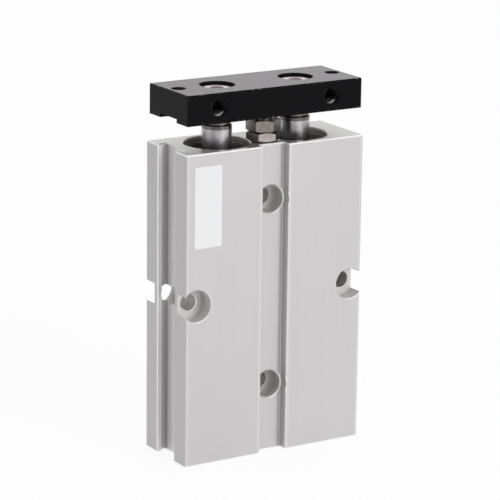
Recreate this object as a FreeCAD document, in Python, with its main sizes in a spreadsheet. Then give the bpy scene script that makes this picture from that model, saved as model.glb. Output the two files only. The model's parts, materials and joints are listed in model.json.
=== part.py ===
"""Twin-rod guided pneumatic cylinder, retracted, standing on its rear end.

Frame: millimetres, origin at the centre of the barrel's rear end face, +Z along the rods towards
the end plate, +X across the two bores towards the air ports, -X towards the sensor slot.
Every length is read from the sheet "Sizes"; the lower half of the sheet adds the lengths up into
the stations along Z, so that each piece starts where the one before it ends.
"""
import FreeCAD, Part
import os
import re
import Sketcher

document = FreeCAD.newDocument("guided_cylinder")
sheet = document.addObject("Spreadsheet::Sheet", "Sizes")

# ---------------------------------------------------------------------------------- sizes
# Driving dimensions: alias, millimetres, what it is.
DRIVING = [
    ("stroke", 25.0, "travel of rods and end plate"),
    ("bore_width", 16.0, "diameter of each cylinder bore"),
    ("rod_pitch", 24.0, "distance between the two bores and rods"),
    ("rod_width", 8.0, "diameter of a piston rod"),
    ("barrel_width", 54.0, "barrel along X"),
    ("barrel_depth", 21.0, "barrel along Y"),
    ("edge_round", 0.4, "rounding of the extrusion's long outer edges"),
    ("end_bevel", 0.2, "bevel round the two sawn ends"),
    ("channel_width", 7.9, "channel down the middle of front and back"),
    ("channel_depth", 2.5, "depth of that channel"),
    ("channel_round", 0.5, "fillet between channel floor and wall"),
    ("slot_mouth", 8.9, "mouth of the sensor T-slot"),
    ("slot_lip", 1.3, "thickness of the lips over the T-slot"),
    ("slot_undercut", 1.1, "how far the T-slot widens behind each lip"),
    ("slot_depth", 3.2, "depth of the T-slot from the side face"),
    ("mouth_step", 0.8, "how much wider in radius the front mouth is than the bore"),
    ("mouth_bevel", 0.3, "bevel at both mouths of a bore"),
    ("groove_depth", 0.45, "depth of a circlip groove"),
    ("groove_width", 1.1, "width of a circlip groove"),
    ("circlip_thickness", 1.0, "circlip wire thickness along Z"),
    ("circlip_band", 1.5, "radial width of a circlip"),
    ("circlip_ear", 1.2, "radius of a circlip's ears"),
    ("circlip_eye", 0.55, "radius of the plier hole in an ear"),
    ("circlip_gap", 44.0, "angle left open by a circlip, in degrees"),
    ("ear_inset", 0.48, "ear centre inside the middle of the circlip's band"),
    ("rear_land", 1.2, "barrel end to rear circlip groove"),
    ("front_land", 1.7, "front circlip groove to barrel end"),
    ("cap_length", 5.2, "rear cap, without its nose"),
    ("cap_nose", 1.2, "nose that centres the bumper, on caps and front guides"),
    ("nose_width", 10.0, "outer diameter of that nose"),
    ("bumper_thickness", 1.6, "soft stop ring"),
    ("bumper_width", 12.6, "outer diameter of the stop ring"),
    ("rest_gap", 0.4, "piston nut to rear bumper when the stop bolt rests on the barrel"),
    ("stop_gap", 0.3, "piston to front bumper at full stroke"),
    ("piston_rear", 6.0, "rear half of a piston"),
    ("magnet_length", 3.0, "magnet ring between the halves"),
    ("piston_front", 6.0, "front half of a piston"),
    ("piston_play", 0.15, "radial gap between piston and bore"),
    ("spigot_width", 5.0, "rod end that carries the piston"),
    ("hub_width", 8.0, "hub inside the magnet ring"),
    ("magnet_sink", 0.4, "how far the magnet ring lies below the bore wall"),
    ("seal_groove", 2.8, "width of the piston seal groove"),
    ("seal_floor", 11.4, "diameter at the floor of the piston seal groove"),
    ("seal_taper", 0.34, "piston seal's end face to its lip"),
    ("seal_lip", 0.5, "height of each of its two lips"),
    ("wear_groove", 3.4, "width of the wear ring groove"),
    ("wear_floor", 14.4, "diameter at the floor of the wear ring groove"),
    ("neck_length", 5.0, "slim neck of the front guide, beside the front port"),
    ("neck_width", 12.0, "diameter of that neck"),
    ("pilot_length", 1.0, "front guide's pilot inside the bore"),
    ("guide_length", 21.1, "front guide inside the wide mouth"),
    ("ring_section", 1.5, "section diameter of the O-rings"),
    ("ring_room", 0.4, "O-ring groove width beyond the ring section"),
    ("ring_offset", 1.1, "shoulder to O-ring groove on the front guide"),
    ("rod_seal_offset", 0.6, "shoulder to rod seal groove"),
    ("rod_seal_length", 3.2, "rod seal groove along Z"),
    ("rod_seal_width", 12.4, "diameter of the rod seal groove"),
    ("rod_seal_cup", 1.4, "depth of the cup between the rod seal's two lips"),
    ("rod_seal_lip", 1.3, "height of the lip that touches the rod"),
    ("rod_room", 0.3, "radial room round the rod where nothing guides it"),
    ("bush_offset", 1.5, "rod seal groove to guide bush"),
    ("bush_width", 11.0, "outer diameter of the guide bush"),
    ("wiper_length", 2.0, "wiper seal at the guide's outer end"),
    ("wiper_width", 12.0, "outer diameter of the wiper"),
    ("wiper_lip", 0.4, "height of the wiper's lip"),
    ("running_fit", 0.03, "radial clearance of rod in guide bush"),
    ("seat_fit", 0.02, "radial clearance of pieces that do not move in their seat"),
    ("seal_fit", 0.05, "radial clearance left at every seal lip"),
    ("lower_hole", 18.3, "height of the lower mounting hole in the channel"),
    ("upper_drop", 15.0, "front end of the barrel down to the upper mounting hole"),
    ("side_inset", 3.3, "side face of the barrel to the axis of a side mounting hole"),
    ("hole_width", 4.5, "mounting hole"),
    ("channel_bore", 7.4, "counterbore of the channel holes"),
    ("channel_bevel", 0.4, "bevel round it"),
    ("channel_sink", 4.7, "its depth below the channel floor"),
    ("side_bore", 8.6, "counterbore of the side holes"),
    ("side_bevel", 0.2, "bevel round it"),
    ("side_sink", 4.5, "its depth below the front and back faces"),
    ("ledge_bevel", 0.25, "bevel round each mounting hole where its counterbore ends"),
    ("port_width", 4.2, "tapping drill of the two air ports"),
    ("port_bevel", 0.5, "bevel at a port's mouth"),
    ("passage_width", 3.0, "drilling that joins the two bores at each port"),
    ("plate_gap", 7.3, "barrel to end plate when retracted"),
    ("plate_width", 53.0, "end plate along X"),
    ("plate_depth", 20.0, "end plate along Y"),
    ("plate_thickness", 8.0, "end plate along Z"),
    ("plate_round", 0.3, "rounding of the plate's four upright edges"),
    ("plate_bevel", 0.25, "bevel round the plate's top"),
    ("plate_groove_width", 8.5, "groove under the plate that takes rods and stop bolt"),
    ("plate_groove_depth", 1.0, "depth of that groove"),
    ("plate_bore", 9.5, "counterbore over each rod"),
    ("plate_sink", 4.4, "depth of that counterbore"),
    ("plate_clear", 5.5, "clearance hole for a plate screw"),
    ("top_pitch", 47.0, "distance between the two tapped holes in the plate's top"),
    ("top_drill", 3.3, "tapping drill of those holes"),
    ("face_pitch", 34.2, "distance between the two tapped holes in the plate's front"),
    ("face_drill", 4.2, "tapping drill of those holes"),
    ("face_depth", 5.0, "depth of those holes"),
    ("drill_bevel", 0.4, "bevel at the plate's tapped holes"),
    ("thread_width", 4.5, "tapped hole at pitch diameter, where a screw of this part sits in it"),
    ("thread_fit", 0.05, "radial gap between a screw's core and its tapped hole"),
    ("screw_head", 8.5, "plate screw head diameter"),
    ("screw_head_length", 3.5, "plate screw head along Z"),
    ("screw_socket", 4.0, "hexagon socket across flats"),
    ("screw_socket_depth", 2.0, "depth of the socket"),
    ("screw_length", 12.0, "plate screw below its head"),
    ("tap_room", 1.0, "depth of a tapped hole beyond the end of its screw"),
    ("hex_width", 8.0, "nuts and stop bolt head across flats"),
    ("nut_land", 8.5, "diameter where the 30 degree bevel of a nut starts"),
    ("head_land", 7.0, "the same on the stop bolt's head"),
    ("nut_length", 2.7, "thin nut behind a piston"),
    ("lock_length", 2.9, "lock nut of the stop bolt"),
    ("bolt_head_length", 2.9, "stop bolt head"),
    ("bolt_place", 3.6, "stop bolt in front of the plane of the two rods"),
    ("bolt_engagement", 4.5, "stop bolt screwed into the end plate"),
    ("rod_neck", 7.5, "rod diameter under the end plate"),
    ("rod_neck_length", 3.2, "length of that neck"),
    ("rod_slit", 0.4, "turned slit at the foot of the neck"),
    ("rod_slit_width", 6.8, "diameter in the slit"),
    ("rod_bevel", 0.25, "bevel at the rod's shoulders"),
]

# Stations along Z and shared places, worked out from the driving dimensions.
WORKED_OUT = [
    ("bore_radius", "bore_width / 2"),
    ("mouth_radius", "bore_radius + mouth_step"),
    ("bore_place", "rod_pitch / 2"),
    ("cap_foot", "rear_land + groove_width"),
    ("cap_face", "cap_foot + cap_length"),
    ("rear_stop", "cap_face + bumper_thickness"),
    ("nut_foot", "rear_stop + rest_gap"),
    ("piston_foot", "nut_foot + nut_length"),
    ("magnet_foot", "piston_foot + piston_rear"),
    ("magnet_head", "magnet_foot + magnet_length"),
    ("piston_head", "magnet_head + piston_front"),
    ("front_stop", "piston_head + stroke + stop_gap"),
    ("neck_foot", "front_stop + bumper_thickness"),
    ("pilot_foot", "neck_foot + neck_length"),
    ("shoulder", "pilot_foot + pilot_length"),
    ("guide_head", "shoulder + guide_length"),
    ("barrel_head", "guide_head + groove_width + front_land"),
    ("plate_foot", "barrel_head + plate_gap"),
    ("rod_head", "plate_foot + plate_groove_depth"),
    ("plate_head", "plate_foot + plate_thickness"),
    ("screw_seat", "plate_head - plate_sink"),
    ("screw_foot", "screw_seat - screw_length"),
    ("upper_hole", "barrel_head - upper_drop"),
    ("side_hole", "(lower_hole + upper_hole) / 2"),
    ("side_place", "barrel_width / 2 - side_inset"),
    ("rear_port", "cap_face + port_width / 2"),
    ("front_port", "pilot_foot - port_width / 2"),
    ("channel_floor", "barrel_depth / 2 - channel_depth"),
    ("core_radius", "thread_width / 2 - thread_fit"),
    ("bolt_head", "barrel_head + bolt_head_length"),
    ("bolt_tip", "rod_head + bolt_engagement"),
    ("rod_seal_foot", "shoulder + rod_seal_offset"),
    ("rod_seal_head", "rod_seal_foot + rod_seal_length"),
    ("bush_foot", "rod_seal_head + bush_offset"),
    ("wiper_foot", "guide_head - wiper_length"),
    ("guide_ring", "shoulder + ring_offset + (ring_section + ring_room) / 2"),
    ("cap_ring", "cap_foot + cap_length / 2"),
]

for row, (alias, length, meaning) in enumerate(DRIVING, start=1):
    sheet.set(f"A{row}", meaning)
    sheet.set(f"B{row}", str(length))
    sheet.setAlias(f"B{row}", alias)
for row, (alias, formula) in enumerate(WORKED_OUT, start=len(DRIVING) + 2):
    sheet.set(f"A{row}", alias.replace("_", " "))
    sheet.set(f"B{row}", "=" + formula)
    sheet.setAlias(f"B{row}", alias)
document.recompute()

ALIASES = {entry[0] for entry in DRIVING + WORKED_OUT}
OVERSHOOT = 1.0     # how far a cut runs past the face it starts from
DRILL_TIP = 0.6     # length of a drill's cone, as a share of its radius
HEX_SLOPE = 0.58    # tangent of the 30 degree bevel on nuts and bolt heads


def tied(formula):
    """The formula with every alias in it pointed at the sheet."""
    return re.sub(r"[a-z_]+", lambda word: "Sizes." + word[0] if word[0] in ALIASES else word[0], formula)


def value(formula):
    return float(sheet.evalExpression(tied(formula)))


# ------------------------------------------------------------------------- sketch helpers
def new_body(name, across="0", turn=0.0, forward="0"):
    """A body whose own Z axis stands at X = across, Y = -forward, turned about it by turn degrees."""
    body = document.addObject("PartDesign::Body", name)
    body.Label = name
    body.Placement.Rotation = FreeCAD.Rotation(FreeCAD.Vector(0, 0, 1), turn)
    body.setExpression(".Placement.Base.x", tied(across))
    body.setExpression(".Placement.Base.y", tied(f"-({forward})"))
    return body


def new_sketch(body, plane, lift="0"):
    """An empty sketch on one of the body's origin planes, lifted along that plane's normal."""
    sketch = body.newObject("Sketcher::SketchObject", body.Name + "_sketch")
    origin_plane = [item for item in body.Origin.OriginFeatures if item.Role == plane + "_Plane"][0]
    sketch.AttachmentSupport = [(origin_plane, "")]
    sketch.MapMode = "FlatFace"
    sketch.setExpression(".AttachmentOffset.Base.z", tied(lift))
    return sketch


def dimension(sketch, geometry, point, x, y):
    """Holds one point of a sketch at formulas x, y from the sketch's origin."""
    for kind, formula in (("DistanceX", x), ("DistanceY", y)):
        number = sketch.addConstraint(Sketcher.Constraint(kind, -1, 1, geometry, point, value(formula)))
        sketch.setExpression(f"Constraints[{number}]", tied(formula))


def outline(body, plane, corners, lift="0"):
    """A sketch of straight lines through corners, each corner a pair of formulas."""
    sketch = new_sketch(body, plane, lift)
    points = [FreeCAD.Vector(value(x), value(y), 0) for x, y in corners]
    ends = points[1:] + points[:1]
    sketch.addGeometry([Part.LineSegment(a, b) for a, b in zip(points, ends)], False)
    count = len(points)
    sketch.addConstraint([Sketcher.Constraint("Coincident", i, 2, (i + 1) % count, 1) for i in range(count)])
    for index, (x, y) in enumerate(corners):
        dimension(sketch, index, 1, x, y)
    return sketch


def circles(body, plane, places, radius, lift="0"):
    """A sketch of equal circles at places, each a pair of formulas."""
    sketch = new_sketch(body, plane, lift)
    for index, (x, y) in enumerate(places):
        centre = FreeCAD.Vector(value(x), value(y), 0)
        sketch.addGeometry(Part.Circle(centre, FreeCAD.Vector(0, 0, 1), value(radius)), False)
        dimension(sketch, index, 3, x, y)
        number = sketch.addConstraint(Sketcher.Constraint("Radius", index, value(radius)))
        sketch.setExpression(f"Constraints[{number}]", tied(radius))
    return sketch


def hexagon(body, across_flats, lift):
    """A sketch of a hexagon with two flats facing +X and -X."""
    half = f"({across_flats}) / 2"
    side = f"{half} * tan(30 deg)"
    tip = f"{half} / cos(30 deg)"
    corners = [(half, f"-{side}"), (half, side), ("0", tip), (f"-{half}", side), (f"-{half}", f"-{side}"),
               ("0", f"-{tip}")]
    return outline(body, "XY", corners, lift)


def centre_line(sketch, start, end):
    """A construction line from start to end, used as the axis of a turned cut."""
    points = [FreeCAD.Vector(value(x), value(y), 0) for x, y in (start, end)]
    line = sketch.addGeometry(Part.LineSegment(*points), True)
    dimension(sketch, line, 1, *start)
    dimension(sketch, line, 2, *end)


# ------------------------------------------------------------------------ feature helpers
def feature(body, kind, sketch, **settings):
    """Adds a PartDesign feature made from a sketch and recomputes it."""
    item = body.newObject("PartDesign::" + kind, f"{body.Name}_{kind.lower()}")
    item.Profile = sketch
    for name, setting in settings.items():
        setattr(item, name, setting)
    document.recompute()
    return item


def extrude(body, kind, sketch, length, **settings):
    item = feature(body, kind, sketch, **settings)
    item.setExpression("Length", tied(length))
    document.recompute()
    return item


def turned(name, corners, across="0"):
    """A body turned about Z from corners (radius, height)."""
    body = new_body(name, across)
    sketch = outline(body, "XZ", corners)
    feature(body, "Revolution", sketch, ReferenceAxis=(sketch, ["V_Axis"]), Angle=360.0)
    return body


def turned_cut(body, plane, axis, corners, lift="0"):
    """Cuts away what corners sweep when turned about the line between the two axis points."""
    sketch = outline(body, plane, corners, lift)
    centre_line(sketch, *axis)
    before = body.Tip.Shape.Volume
    cut = feature(body, "Groove", sketch, ReferenceAxis=(sketch, ["Axis0"]), Angle=360.0)
    if cut.Shape.Volume >= before:
        raise RuntimeError(f"{cut.Name} cuts nothing")
    return cut


def mirrored(body, cut, plane):
    """Repeats a cut on the other side of one of the body's origin planes."""
    mirror = body.newObject("PartDesign::Mirrored", body.Name + "_mirror")
    mirror.Originals = [cut]
    origin_plane = [item for item in body.Origin.OriginFeatures if item.Role == plane + "_Plane"][0]
    mirror.MirrorPlane = (origin_plane, [""])
    body.Tip = mirror
    document.recompute()
    return mirror


def dress(body, kind, base, names, size):
    """A fillet or chamfer of the given size on the named edges or faces of base."""
    item = body.newObject("PartDesign::" + kind, f"{body.Name}_{kind.lower()}")
    item.Base = (base, names)
    item.setExpression("Radius" if kind == "Fillet" else "Size", tied(size))
    body.Tip = item
    document.recompute()
    return item


def upright_edges(shape, spots):
    """Names of the edges parallel to Z that stand at spots, each a pair of formulas."""
    wanted = [(value(x), value(y)) for x, y in spots]
    names = []
    for index, edge in enumerate(shape.Edges, start=1):
        box = edge.BoundBox
        for x, y in wanted:
            near = abs(box.XMin - x) + abs(box.XMax - x) + abs(box.YMin - y) + abs(box.YMax - y)
            if near < 1e-4:
                names.append(f"Edge{index}")
    return names


def faces_at(shape, height):
    """Names of the flat faces that lie wholly at one height."""
    level = value(height)
    return [f"Face{index}" for index, face in enumerate(shape.Faces, start=1)
            if abs(face.BoundBox.ZMin - level) + abs(face.BoundBox.ZMax - level) < 1e-4]


# --------------------------------------------------------------------------------- barrel
def make_barrel():
    """Extruded barrel with two bores, counterbored mounting holes, sensor slot and air ports."""
    body = new_body("barrel")
    side, face = "barrel_width / 2", "barrel_depth / 2"
    channel, floor = "channel_width / 2", "channel_floor"
    lip, mouth = f"-({side} - slot_lip)", "slot_mouth / 2"
    slot_floor, slot_wall = f"-({side} - slot_depth)", f"{mouth} + slot_undercut"
    section = outline(body, "XY", [
        (f"-{side}", f"-{face}"), (f"-{channel}", f"-{face}"), (f"-{channel}", f"-{floor}"),
        (channel, f"-{floor}"), (channel, f"-{face}"), (side, f"-{face}"),
        (side, face), (channel, face), (channel, floor),
        (f"-{channel}", floor), (f"-{channel}", face), (f"-{side}", face),
        (f"-{side}", mouth), (lip, mouth), (lip, slot_wall), (slot_floor, slot_wall),
        (slot_floor, f"-({slot_wall})"), (lip, f"-({slot_wall})"), (lip, f"-{mouth}"), (f"-{side}", f"-{mouth}")])
    block = extrude(body, "Pad", section, "barrel_head")

    signs = ("", "-")
    channel_corners = [(x + channel, y + floor) for x in signs for y in signs]
    outer_corners = [(x + across, y + face) for across in (side, channel) for x in signs for y in signs]
    outer_corners += [(f"-{side}", y + mouth) for y in signs]
    block = dress(body, "Fillet", block, upright_edges(block.Shape, channel_corners), "channel_round")
    block = dress(body, "Fillet", block, upright_edges(block.Shape, outer_corners), "edge_round")
    ends = faces_at(block.Shape, "0") + faces_at(block.Shape, "barrel_head")
    dress(body, "Chamfer", block, ends, "end_bevel")

    def wall(offset, height):
        return f"bore_place + {offset}", height

    groove = "bore_radius + groove_depth"
    front_groove = "mouth_radius + groove_depth"
    bore = turned_cut(body, "XZ", [("bore_place", "0"), ("bore_place", "barrel_head")], [
        ("bore_place", f"-{OVERSHOOT}"), wall("bore_radius + mouth_bevel", f"-{OVERSHOOT}"),
        wall("bore_radius + mouth_bevel", "0"), wall("bore_radius", "mouth_bevel"),
        wall("bore_radius", "rear_land"), wall(groove, "rear_land"), wall(groove, "cap_foot"),
        wall("bore_radius", "cap_foot"), wall("bore_radius", "shoulder"), wall("mouth_radius", "shoulder"),
        wall("mouth_radius", "guide_head"), wall(front_groove, "guide_head"),
        wall(front_groove, "guide_head + groove_width"), wall("mouth_radius", "guide_head + groove_width"),
        wall("mouth_radius", "barrel_head - mouth_bevel"), wall("mouth_radius + mouth_bevel", "barrel_head"),
        wall("mouth_radius + mouth_bevel", f"barrel_head + {OVERSHOOT}"),
        ("bore_place", f"barrel_head + {OVERSHOOT}")])
    mirrored(body, bore, "YZ")

    def mounting_hole(height, kind, start, across):
        """A through-hole along Y, counterbored from the front and the back."""
        outside = f"{face} + {OVERSHOOT}"
        ledge = f"{start} - {kind}_sink"
        rim = f"{kind}_bore / 2 + {kind}_bevel"
        ring = [(outside, "0"), (outside, rim), (start, rim), (f"{start} - {kind}_bevel", f"{kind}_bore / 2"),
                (ledge, f"{kind}_bore / 2"), (ledge, "hole_width / 2 + ledge_bevel"),
                (f"{ledge} - ledge_bevel", "hole_width / 2")]
        back = [(y, f"{height} + {r}") for y, r in ring]
        front = [(f"-({y})", z) for y, z in reversed(back)]
        axis = [("0", height), (face, height)]
        return turned_cut(body, "YZ", axis, back + front, across)

    for height in ("lower_hole", "upper_hole"):
        mounting_hole(height, "channel", "channel_floor", "0")
    mirrored(body, mounting_hole("side_hole", "side", face, "side_place"), "YZ")

    for height in ("rear_port", "front_port"):
        drill, passage = f"{height} + port_width / 2", f"{height} + passage_width / 2"
        turned_cut(body, "XZ", [("0", height), (side, height)], [
            (f"{side} + {OVERSHOOT}", height), (f"{side} + {OVERSHOOT}", f"{drill} + port_bevel"),
            (side, f"{drill} + port_bevel"), (f"{side} - port_bevel", drill), ("bore_place", drill),
            ("bore_place", passage), ("-bore_place", passage), ("-bore_place", height)])
    return body


# ------------------------------------------------------------------- what closes each bore
def o_ring(name, across, radius, height):
    """A ring of round section that touches the wall it seals against."""
    ring = document.addObject("Part::Torus", name)
    ring.Label = name
    ring.setExpression("Radius1", tied(f"{radius} - ring_section / 2 - seat_fit"))
    ring.setExpression("Radius2", tied("ring_section / 2"))
    ring.setExpression(".Placement.Base.x", tied(across))
    ring.setExpression(".Placement.Base.z", tied(height))
    return ring


def circlip(name, across, groove_radius, foot):
    """An internal circlip with its gap to the front and an ear with a plier hole at each end."""
    body = new_body(name, across, 90.0)
    outer = f"{groove_radius} - seal_fit"
    inner = f"{outer} - circlip_band"
    head = f"{foot} + circlip_thickness"
    band = outline(body, "XZ", [(inner, foot), (outer, foot), (outer, head), (inner, head)])
    ring = feature(body, "Revolution", band, ReferenceAxis=(band, ["V_Axis"]), Midplane=True)
    ring.setExpression("Angle", "360 - " + tied("circlip_gap"))
    reach = f"({inner} + circlip_band / 2 - ear_inset)"
    half_gap = "circlip_gap / 2 * 1 deg"
    ears = [(f"-{reach} * cos({half_gap})", f"{sign}{reach} * sin({half_gap})") for sign in ("", "-")]
    extrude(body, "Pad", circles(body, "XY", ears, "circlip_ear", foot), "circlip_thickness")
    extrude(body, "Pocket", circles(body, "XY", ears, "circlip_eye", head), "circlip_thickness")
    return body


def bumper(name, across, foot):
    head = f"{foot} + bumper_thickness"
    inner, outer = "nose_width / 2 + seat_fit", "bumper_width / 2"
    return turned(name, [(inner, foot), (outer, foot), (outer, head), (inner, head)], across)


def make_rear_end(hand, across):
    """Rear cap with its O-ring, circlip and bumper."""
    outer, nose = "bore_radius - seal_fit", "nose_width / 2"
    groove_half = "(ring_section + ring_room) / 2"
    groove_floor = "bore_radius - ring_section - 2 * seat_fit"
    dish, dish_depth = "nose_width / 2", "cap_nose / 2"
    turned(f"rear_cap_{hand}", [
        ("0", f"cap_foot + {dish_depth}"), (f"{dish} - {dish_depth}", f"cap_foot + {dish_depth}"),
        (dish, "cap_foot"), (outer, "cap_foot"),
        (outer, f"cap_ring - {groove_half}"), (groove_floor, f"cap_ring - {groove_half}"),
        (groove_floor, f"cap_ring + {groove_half}"), (outer, f"cap_ring + {groove_half}"),
        (outer, "cap_face"), (nose, "cap_face"), (nose, "cap_face + cap_nose"), ("0", "cap_face + cap_nose")],
        across)
    o_ring(f"rear_cap_ring_{hand}", across, "bore_radius", "cap_ring")
    circlip(f"rear_circlip_{hand}", across, "bore_radius + groove_depth", "cap_foot - circlip_thickness")
    bumper(f"rear_bumper_{hand}", across, "cap_face")


def make_front_end(hand, across):
    """Front guide with bush, rod seal, wiper, O-ring, circlip and bumper."""
    room = "rod_width / 2 + rod_room"
    outer, pilot = "mouth_radius - seal_fit", "bore_radius - seal_fit"
    groove_half = "(ring_section + ring_room) / 2"
    groove_floor = "mouth_radius - ring_section - 2 * seat_fit"
    turned(f"front_guide_{hand}", [
        (room, "neck_foot - cap_nose"), ("nose_width / 2", "neck_foot - cap_nose"),
        ("nose_width / 2", "neck_foot"), ("neck_width / 2", "neck_foot"), ("neck_width / 2", "pilot_foot"),
        (pilot, "pilot_foot"), (pilot, "shoulder"), (outer, "shoulder"),
        (outer, f"guide_ring - {groove_half}"), (groove_floor, f"guide_ring - {groove_half}"),
        (groove_floor, f"guide_ring + {groove_half}"), (outer, f"guide_ring + {groove_half}"),
        (outer, "guide_head"), ("wiper_width / 2", "guide_head"), ("wiper_width / 2", "wiper_foot"),
        ("bush_width / 2", "wiper_foot"), ("bush_width / 2", "bush_foot"), (room, "bush_foot"),
        (room, "rod_seal_head"), ("rod_seal_width / 2", "rod_seal_head"),
        ("rod_seal_width / 2", "rod_seal_foot"), (room, "rod_seal_foot")], across)
    inner, seat = "rod_width / 2 + running_fit", "bush_width / 2 - seat_fit"
    turned(f"guide_bush_{hand}", [(inner, "bush_foot"), (seat, "bush_foot"), (seat, "wiper_foot"),
                                  (inner, "wiper_foot")], across)
    lip, heel = "rod_width / 2 + seal_fit", "rod_seal_width / 2 - seat_fit"
    cup = "(rod_seal_width - rod_width) / 4 + rod_width / 2"
    turned(f"rod_seal_{hand}", [
        (lip, "rod_seal_foot"), (cup, "rod_seal_foot + rod_seal_cup"), (heel, "rod_seal_foot"),
        (heel, "rod_seal_head - seal_fit"), ("rod_width / 2 + 2 * seal_fit", "rod_seal_head - seal_fit"),
        ("rod_width / 2 + 3 * seal_fit", "rod_seal_foot + rod_seal_lip")], across)
    collar = "wiper_width / 2 - seat_fit"
    turned(f"wiper_{hand}", [
        ("rod_width / 2 + rod_room", "wiper_foot"), (collar, "wiper_foot"), (collar, "guide_head"),
        ("rod_width / 2 + 2 * rod_room", "guide_head"), (lip, "guide_head"),
        (lip, "guide_head - wiper_lip")], across)
    o_ring(f"front_guide_ring_{hand}", across, "mouth_radius", "guide_ring")
    circlip(f"front_circlip_{hand}", across, "mouth_radius + groove_depth", "guide_head")
    bumper(f"front_bumper_{hand}", across, "front_stop")


# ---------------------------------------------------------------------- rods and pistons
def nut(name, across, foot, length, turn=0.0, forward="0"):
    """A hexagon nut with both rims bevelled at 30 degrees."""
    body = new_body(name, across, turn, forward)
    extrude(body, "Pad", hexagon(body, "hex_width", foot), length)
    bevel_hexagon(body, "nut_land", foot, f"{foot} + {length}")
    hole = circles(body, "XY", [("0", "0")], "thread_width / 2", f"{foot} + {length}")
    extrude(body, "Pocket", hole, length)
    return body


def bevel_hexagon(body, land, foot, head):
    """Turns the corners off a hexagon, top and bottom, down to the diameter land."""
    near, far = f"{land} / 2", f"hex_width / 2 / cos(30 deg) + {OVERSHOOT}"
    drop = f"({far} - {near}) * {HEX_SLOPE}"
    axis = [("0", foot), ("0", head)]
    turned_cut(body, "XZ", axis, [(near, head), (far, f"{head} - {drop}"), (far, f"{head} + {OVERSHOOT}"),
                                  (near, f"{head} + {OVERSHOOT}")])
    turned_cut(body, "XZ", axis, [(near, foot), (near, f"{foot} - {OVERSHOOT}"), (far, f"{foot} - {OVERSHOOT}"),
                                  (far, f"{foot} + {drop}")])


def make_rod(hand, across):
    """Piston rod, with the piston and its magnet, seals and nut, and the screw that holds the plate."""
    full, neck, slit = "rod_width / 2", "rod_neck / 2", "rod_slit_width / 2"
    neck_foot = "rod_head - rod_neck_length"
    tap_foot = "screw_foot - tap_room"
    turned(f"rod_{hand}", [
        ("0", "nut_foot"), ("core_radius - rod_bevel", "nut_foot"), ("core_radius", "nut_foot + rod_bevel"),
        ("core_radius", "piston_foot"), ("spigot_width / 2", "piston_foot"), ("spigot_width / 2", "piston_head"),
        (full, "piston_head"), (full, f"{neck_foot} - rod_bevel"), (f"{full} - rod_bevel", neck_foot),
        (slit, neck_foot), (slit, f"{neck_foot} + rod_slit"), (neck, f"{neck_foot} + rod_slit"),
        (neck, "rod_head"), ("thread_width / 2", "rod_head"), ("thread_width / 2", tap_foot),
        ("0", f"{tap_foot} - thread_width / 2 * {DRILL_TIP}")], across)

    skirt, spigot = "bore_radius - piston_play", "spigot_width / 2 + seat_fit"
    hub, seal_floor, wear_floor = "hub_width / 2", "seal_floor / 2", "wear_floor / 2"
    seal_foot = "(magnet_head + piston_head - seal_groove) / 2"
    seal_head = f"{seal_foot} + seal_groove"
    turned(f"piston_front_{hand}", [
        (spigot, "magnet_foot"), (hub, "magnet_foot"), (hub, "magnet_head"), (skirt, "magnet_head"),
        (skirt, seal_foot), (seal_floor, seal_foot), (seal_floor, seal_head), (skirt, seal_head),
        (skirt, "piston_head"), (spigot, "piston_head")], across)
    wear_foot = "(piston_foot + magnet_foot - wear_groove) / 2"
    wear_head = f"{wear_foot} + wear_groove"
    turned(f"piston_rear_{hand}", [
        (spigot, "piston_foot"), (skirt, "piston_foot"), (skirt, wear_foot), (wear_floor, wear_foot),
        (wear_floor, wear_head), (skirt, wear_head), (skirt, "magnet_foot"), (spigot, "magnet_foot")], across)
    rim = "bore_radius - magnet_sink"
    turned(f"magnet_{hand}", [(f"{hub} + seat_fit", "magnet_foot"), (rim, "magnet_foot"), (rim, "magnet_head"),
                              (f"{hub} + seat_fit", "magnet_head")], across)

    low, high, lip = f"{seal_foot} + seal_fit", f"{seal_head} - seal_fit", "bore_radius - seal_fit"
    waist = f"(bore_radius + {seal_floor}) / 2"
    turned(f"piston_seal_{hand}", [
        (f"{seal_floor} + seat_fit", low), (f"{waist} + piston_play", low), (lip, f"{low} + seal_taper"),
        (lip, f"{low} + seal_taper + seal_lip"), (waist, f"({low} + {high}) / 2"),
        (lip, f"{high} - seal_taper - seal_lip"), (lip, f"{high} - seal_taper"),
        (f"{waist} + piston_play", high), (f"{seal_floor} + seat_fit", high)], across)
    turned(f"wear_ring_{hand}", [
        (f"{wear_floor} + seat_fit", f"{wear_foot} + seal_fit"), (lip, f"{wear_foot} + seal_fit"),
        (lip, f"{wear_head} - seal_fit"), (f"{wear_floor} + seat_fit", f"{wear_head} - seal_fit")], across)
    nut(f"piston_nut_{hand}", across, "nut_foot", "nut_length")

    screw = turned(f"plate_screw_{hand}", [
        ("0", "screw_foot"), ("core_radius - rod_bevel", "screw_foot"), ("core_radius", "screw_foot + rod_bevel"),
        ("core_radius", "screw_seat"), ("screw_head / 2", "screw_seat"),
        ("screw_head / 2", "screw_seat + screw_head_length - rod_bevel"),
        ("screw_head / 2 - rod_bevel", "screw_seat + screw_head_length"),
        ("0", "screw_seat + screw_head_length")], across)
    socket = hexagon(screw, "screw_socket", "screw_seat + screw_head_length")
    extrude(screw, "Pocket", socket, "screw_socket_depth")


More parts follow.
